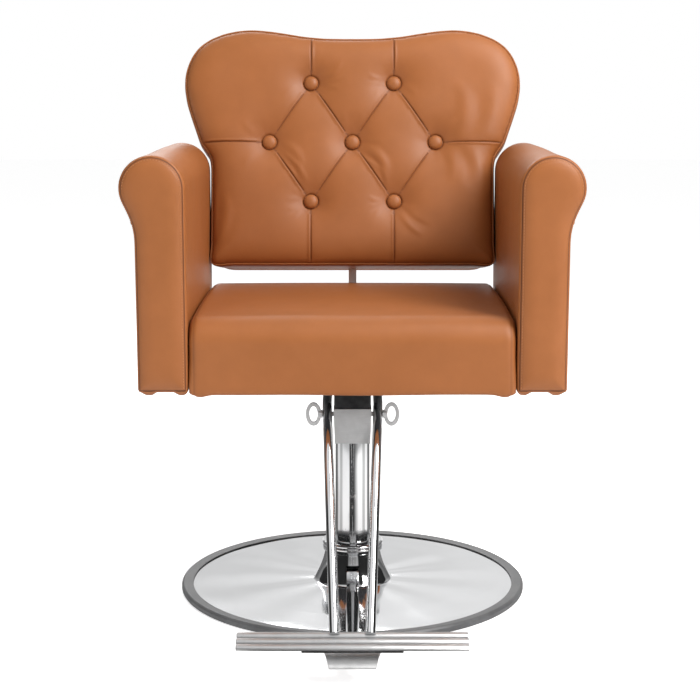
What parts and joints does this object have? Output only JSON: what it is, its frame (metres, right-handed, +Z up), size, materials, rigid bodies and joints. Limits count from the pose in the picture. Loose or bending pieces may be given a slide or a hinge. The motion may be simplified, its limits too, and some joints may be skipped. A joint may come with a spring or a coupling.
{
  "type": "styling chair",
  "caption": "Salon styling chair: tan upholstered seat with rolled arms and a deep-buttoned lobed backrest, on a foot-pumped swivelling chrome column with a T-bar footrest and round base.",
  "frame": {"origin": "on the floor, on the pump's centre line, at the middle of the foot plate's underside", "axes": "+Z up along the pump's column, -Y the way the sitter faces, +X across the chair, which is symmetric about X = 0"},
  "size_m": [0.7178, 0.8335, 0.9617],
  "materials": {
    "tan_leather": "satin",
    "polished_chrome": "polished",
    "satin_steel": "satin",
    "trim_ring_grey": "satin",
    "base_cast_iron": "matte",
    "black_steel": "satin",
    "zinc_fastener": "satin",
    "plywood": "matte",
    "dust_cloth": "matte"
  },
  "bodies": {
    "base": {"base_plate": "base_cast_iron", "base_cover": "polished_chrome", "base_trim_ring": "trim_ring_grey", "hub_cone": "polished_chrome", "hub_collar": "polished_chrome", "pump_base": "base_cast_iron", "pump_cylinder": "polished_chrome", "gland_bush": "black_steel", "pedal_axle": "zinc_fastener", "pedal_return_spring": "black_steel"},
    "pedal": {"pedal_lever": "polished_chrome", "pedal_plate": "polished_chrome"},
    "piston": {"piston_head": "satin_steel", "ram": "polished_chrome"},
    "seat": {"seat_frame": "black_steel", "footrest_hanger": "black_steel", "clamp_block": "satin_steel", "cross_bolt": "zinc_fastener", "seat_board": "plywood", "dust_cover": "dust_cloth", "seat_cushion": "tan_leather", "seat_bolt_1": "zinc_fastener", "seat_bolt_2": "zinc_fastener", "seat_bolt_3": "zinc_fastener", "seat_bolt_4": "zinc_fastener", "arm_bolt_1": "zinc_fastener", "arm_bolt_2": "zinc_fastener", "arm_bolt_3": "zinc_fastener", "arm_bolt_4": "zinc_fastener", "arm_pad_left": "tan_leather", "arm_core_left": "plywood", "arm_facing_left": "tan_leather", "back_side_bolt_left": "zinc_fastener", "arm_pad_right": "tan_leather", "arm_core_right": "plywood", "arm_facing_right": "tan_leather", "back_side_bolt_right": "zinc_fastener", "backrest_cushion": "tan_leather", "backrest_board": "plywood", "backrest_rear_pad": "tan_leather", "back_button_1": "tan_leather", "back_button_2": "tan_leather", "back_button_3": "tan_leather", "back_button_4": "tan_leather", "back_button_5": "tan_leather", "back_button_6": "tan_leather", "back_button_7": "tan_leather", "back_stay": "polished_chrome", "stay_screw_1": "zinc_fastener", "stay_screw_2": "zinc_fastener", "stay_foot_bolt": "zinc_fastener"},
    "footrest": {"footrest_rod_left": "polished_chrome", "footrest_rod_right": "polished_chrome", "footrest_tread": "satin_steel", "footrest_mount_plate": "black_steel", "tread_bolt_left": "zinc_fastener", "tread_bolt_right": "zinc_fastener"},
    "ring_nut_left": {"ring_nut_left": "polished_chrome"},
    "ring_nut_right": {"ring_nut_right": "polished_chrome"}
  },
  "joints": [
    {"name": "seat_lift", "type": "slide", "parent": "base", "child": "piston", "axis": [0, 0, 1], "range_m": [0, 0.15]},
    {"name": "seat_swivel", "type": "hinge", "parent": "piston", "child": "seat", "pos_m": [0, 0, 0.3], "axis": [0, 0, 1], "continuous": true},
    {"name": "pedal_pump", "type": "hinge", "parent": "base", "child": "pedal", "pos_m": [0, -0.04, 0.038], "axis": [1, 0, 0], "range_deg": [0, 3.2], "stiffness_Nm_per_rad": 30, "springref_deg": -11.46, "deforming": ["pedal_return_spring"]},
    {"name": "footrest_tilt", "type": "hinge", "parent": "seat", "child": "footrest", "pos_m": [0, -0.183, 0.342], "axis": [-1, 0, 0], "range_deg": [0, 30]},
    {"name": "clamp_nut_left_turn", "type": "hinge", "parent": "seat", "child": "ring_nut_left", "pos_m": [-0.055, -0.183, 0.342], "axis": [-1, 0, 0], "range_deg": [0, 180]},
    {"name": "clamp_nut_right_turn", "type": "hinge", "parent": "seat", "child": "ring_nut_right", "pos_m": [0.055, -0.183, 0.342], "axis": [1, 0, 0], "range_deg": [0, 180]}
  ]
}
